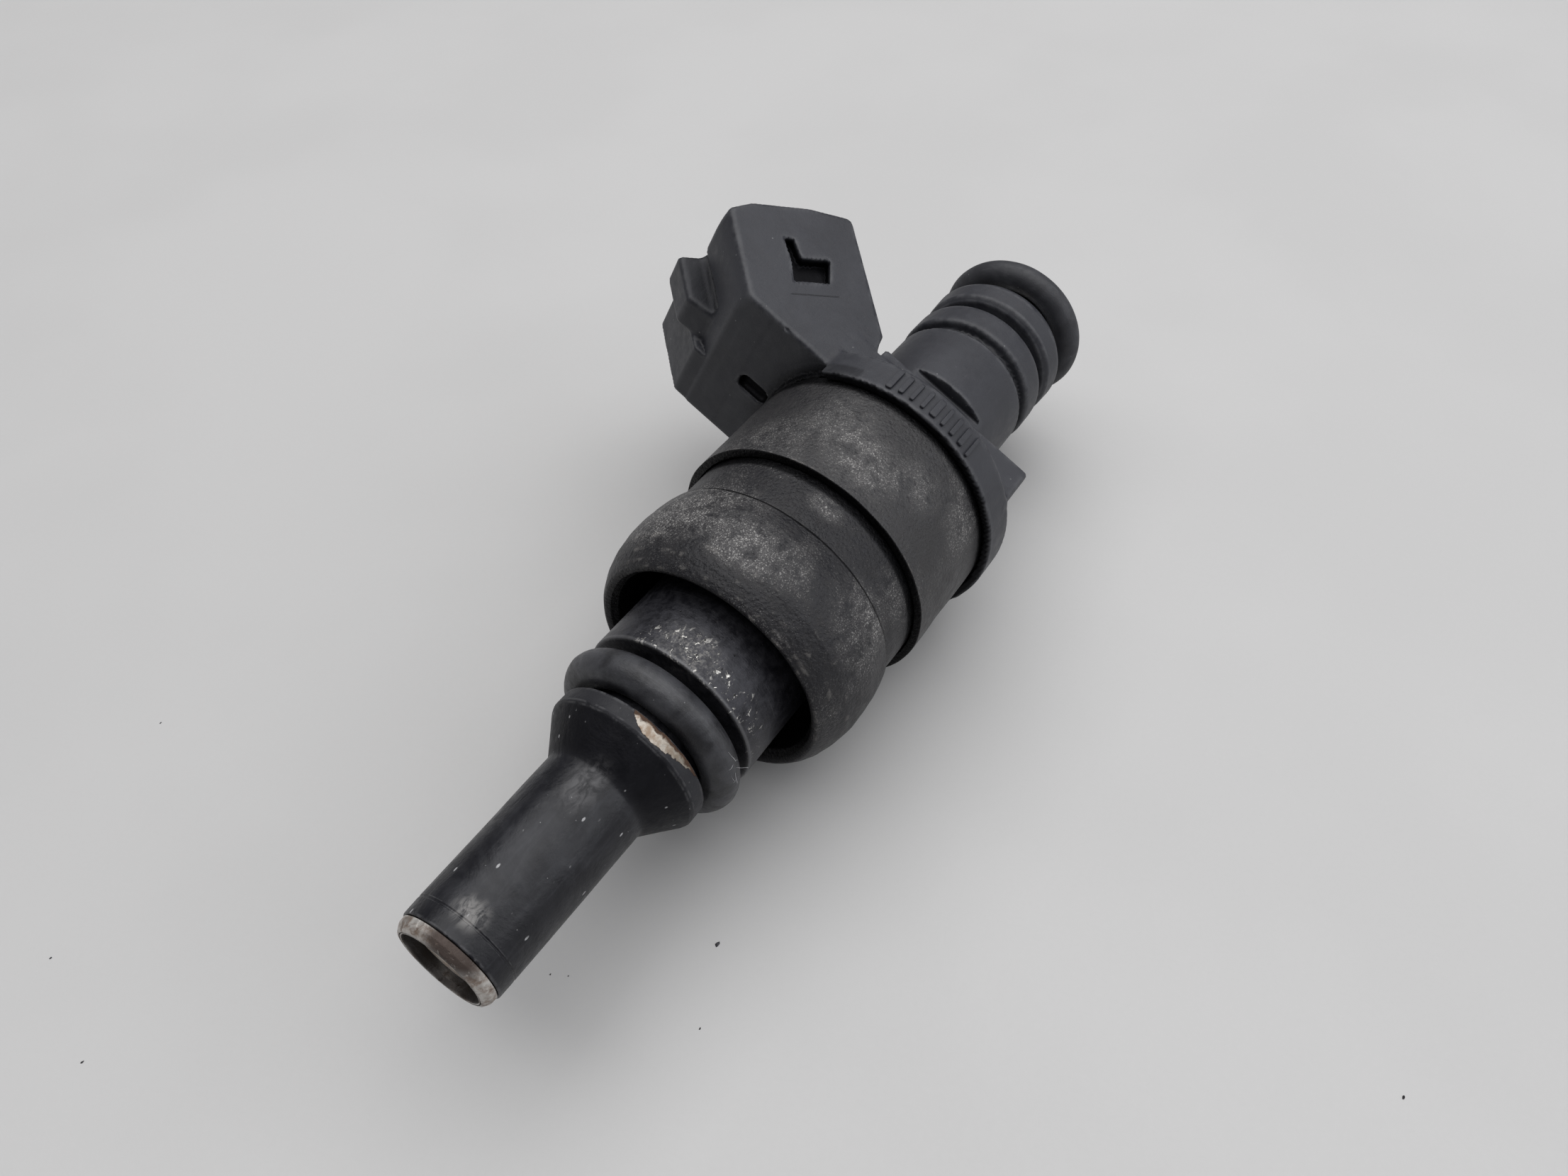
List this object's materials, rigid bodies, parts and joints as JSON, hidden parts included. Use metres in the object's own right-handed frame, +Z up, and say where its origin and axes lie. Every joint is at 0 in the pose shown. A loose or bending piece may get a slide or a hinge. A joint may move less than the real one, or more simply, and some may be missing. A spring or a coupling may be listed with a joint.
{
  "type": "fuel injector",
  "caption": "Solenoid fuel injector with a long nozzle, rounded coil housing, two rubber sealing rings, clip block and an angled two-pin connector.",
  "frame": {"origin": "on the surface the injector lies on, under the middle of its bounding box", "axes": "+X along the injector's axis from the nozzle to the fuel inlet, +Y towards the connector's side, +Z up; the connector's plane is rolled 25.8 degrees above the horizontal about +X"},
  "size_m": [0.0762, 0.0358, 0.0283],
  "materials": {
    "black_plastic": "satin charcoal moulding",
    "nose_plastic": "smooth near-black with smudges",
    "coated_steel": "rough dark coating with dusty wear",
    "gunmetal": "dark with bright speckled wear",
    "worn_steel": "worn and stained",
    "bright_steel": "fine turned",
    "rubber": "matte black",
    "brass": "satin",
    "copper_wire": "enamelled winding",
    "nylon": "natural nylon"
  },
  "bodies": {
    "housing": {"nose_tube": "nose_plastic", "tip_ring": "worn_steel", "orifice_plate": "worn_steel", "valve_seat": "bright_steel", "needle_guide": "bright_steel", "return_spring": "bright_steel", "valve_body": "gunmetal", "lower_o_ring": "rubber", "lower_shell": "coated_steel", "yoke_ring": "coated_steel", "spacer_ring": "bright_steel", "coil_bobbin": "nylon", "coil_winding": "copper_wire", "yoke_plate": "bright_steel", "coil_can": "coated_steel", "inlet_tube": "bright_steel", "adjusting_sleeve": "bright_steel", "filter_collar": "brass", "filter_frame": "nylon", "filter_mesh": "bright_steel", "connector_overmould": "black_plastic", "terminal_upper": "brass", "terminal_lower": "brass", "backup_ring": "black_plastic", "upper_o_ring": "rubber"},
    "plunger": {"armature": "bright_steel", "needle": "bright_steel", "valve_ball": "bright_steel"}
  },
  "joints": [
    {"name": "needle_lift", "type": "slide", "parent": "housing", "child": "plunger", "axis": [1, 0, 0], "range_m": [0, 0.0001], "stiffness_N_per_m": 300, "springref_m": -0.003}
  ]
}
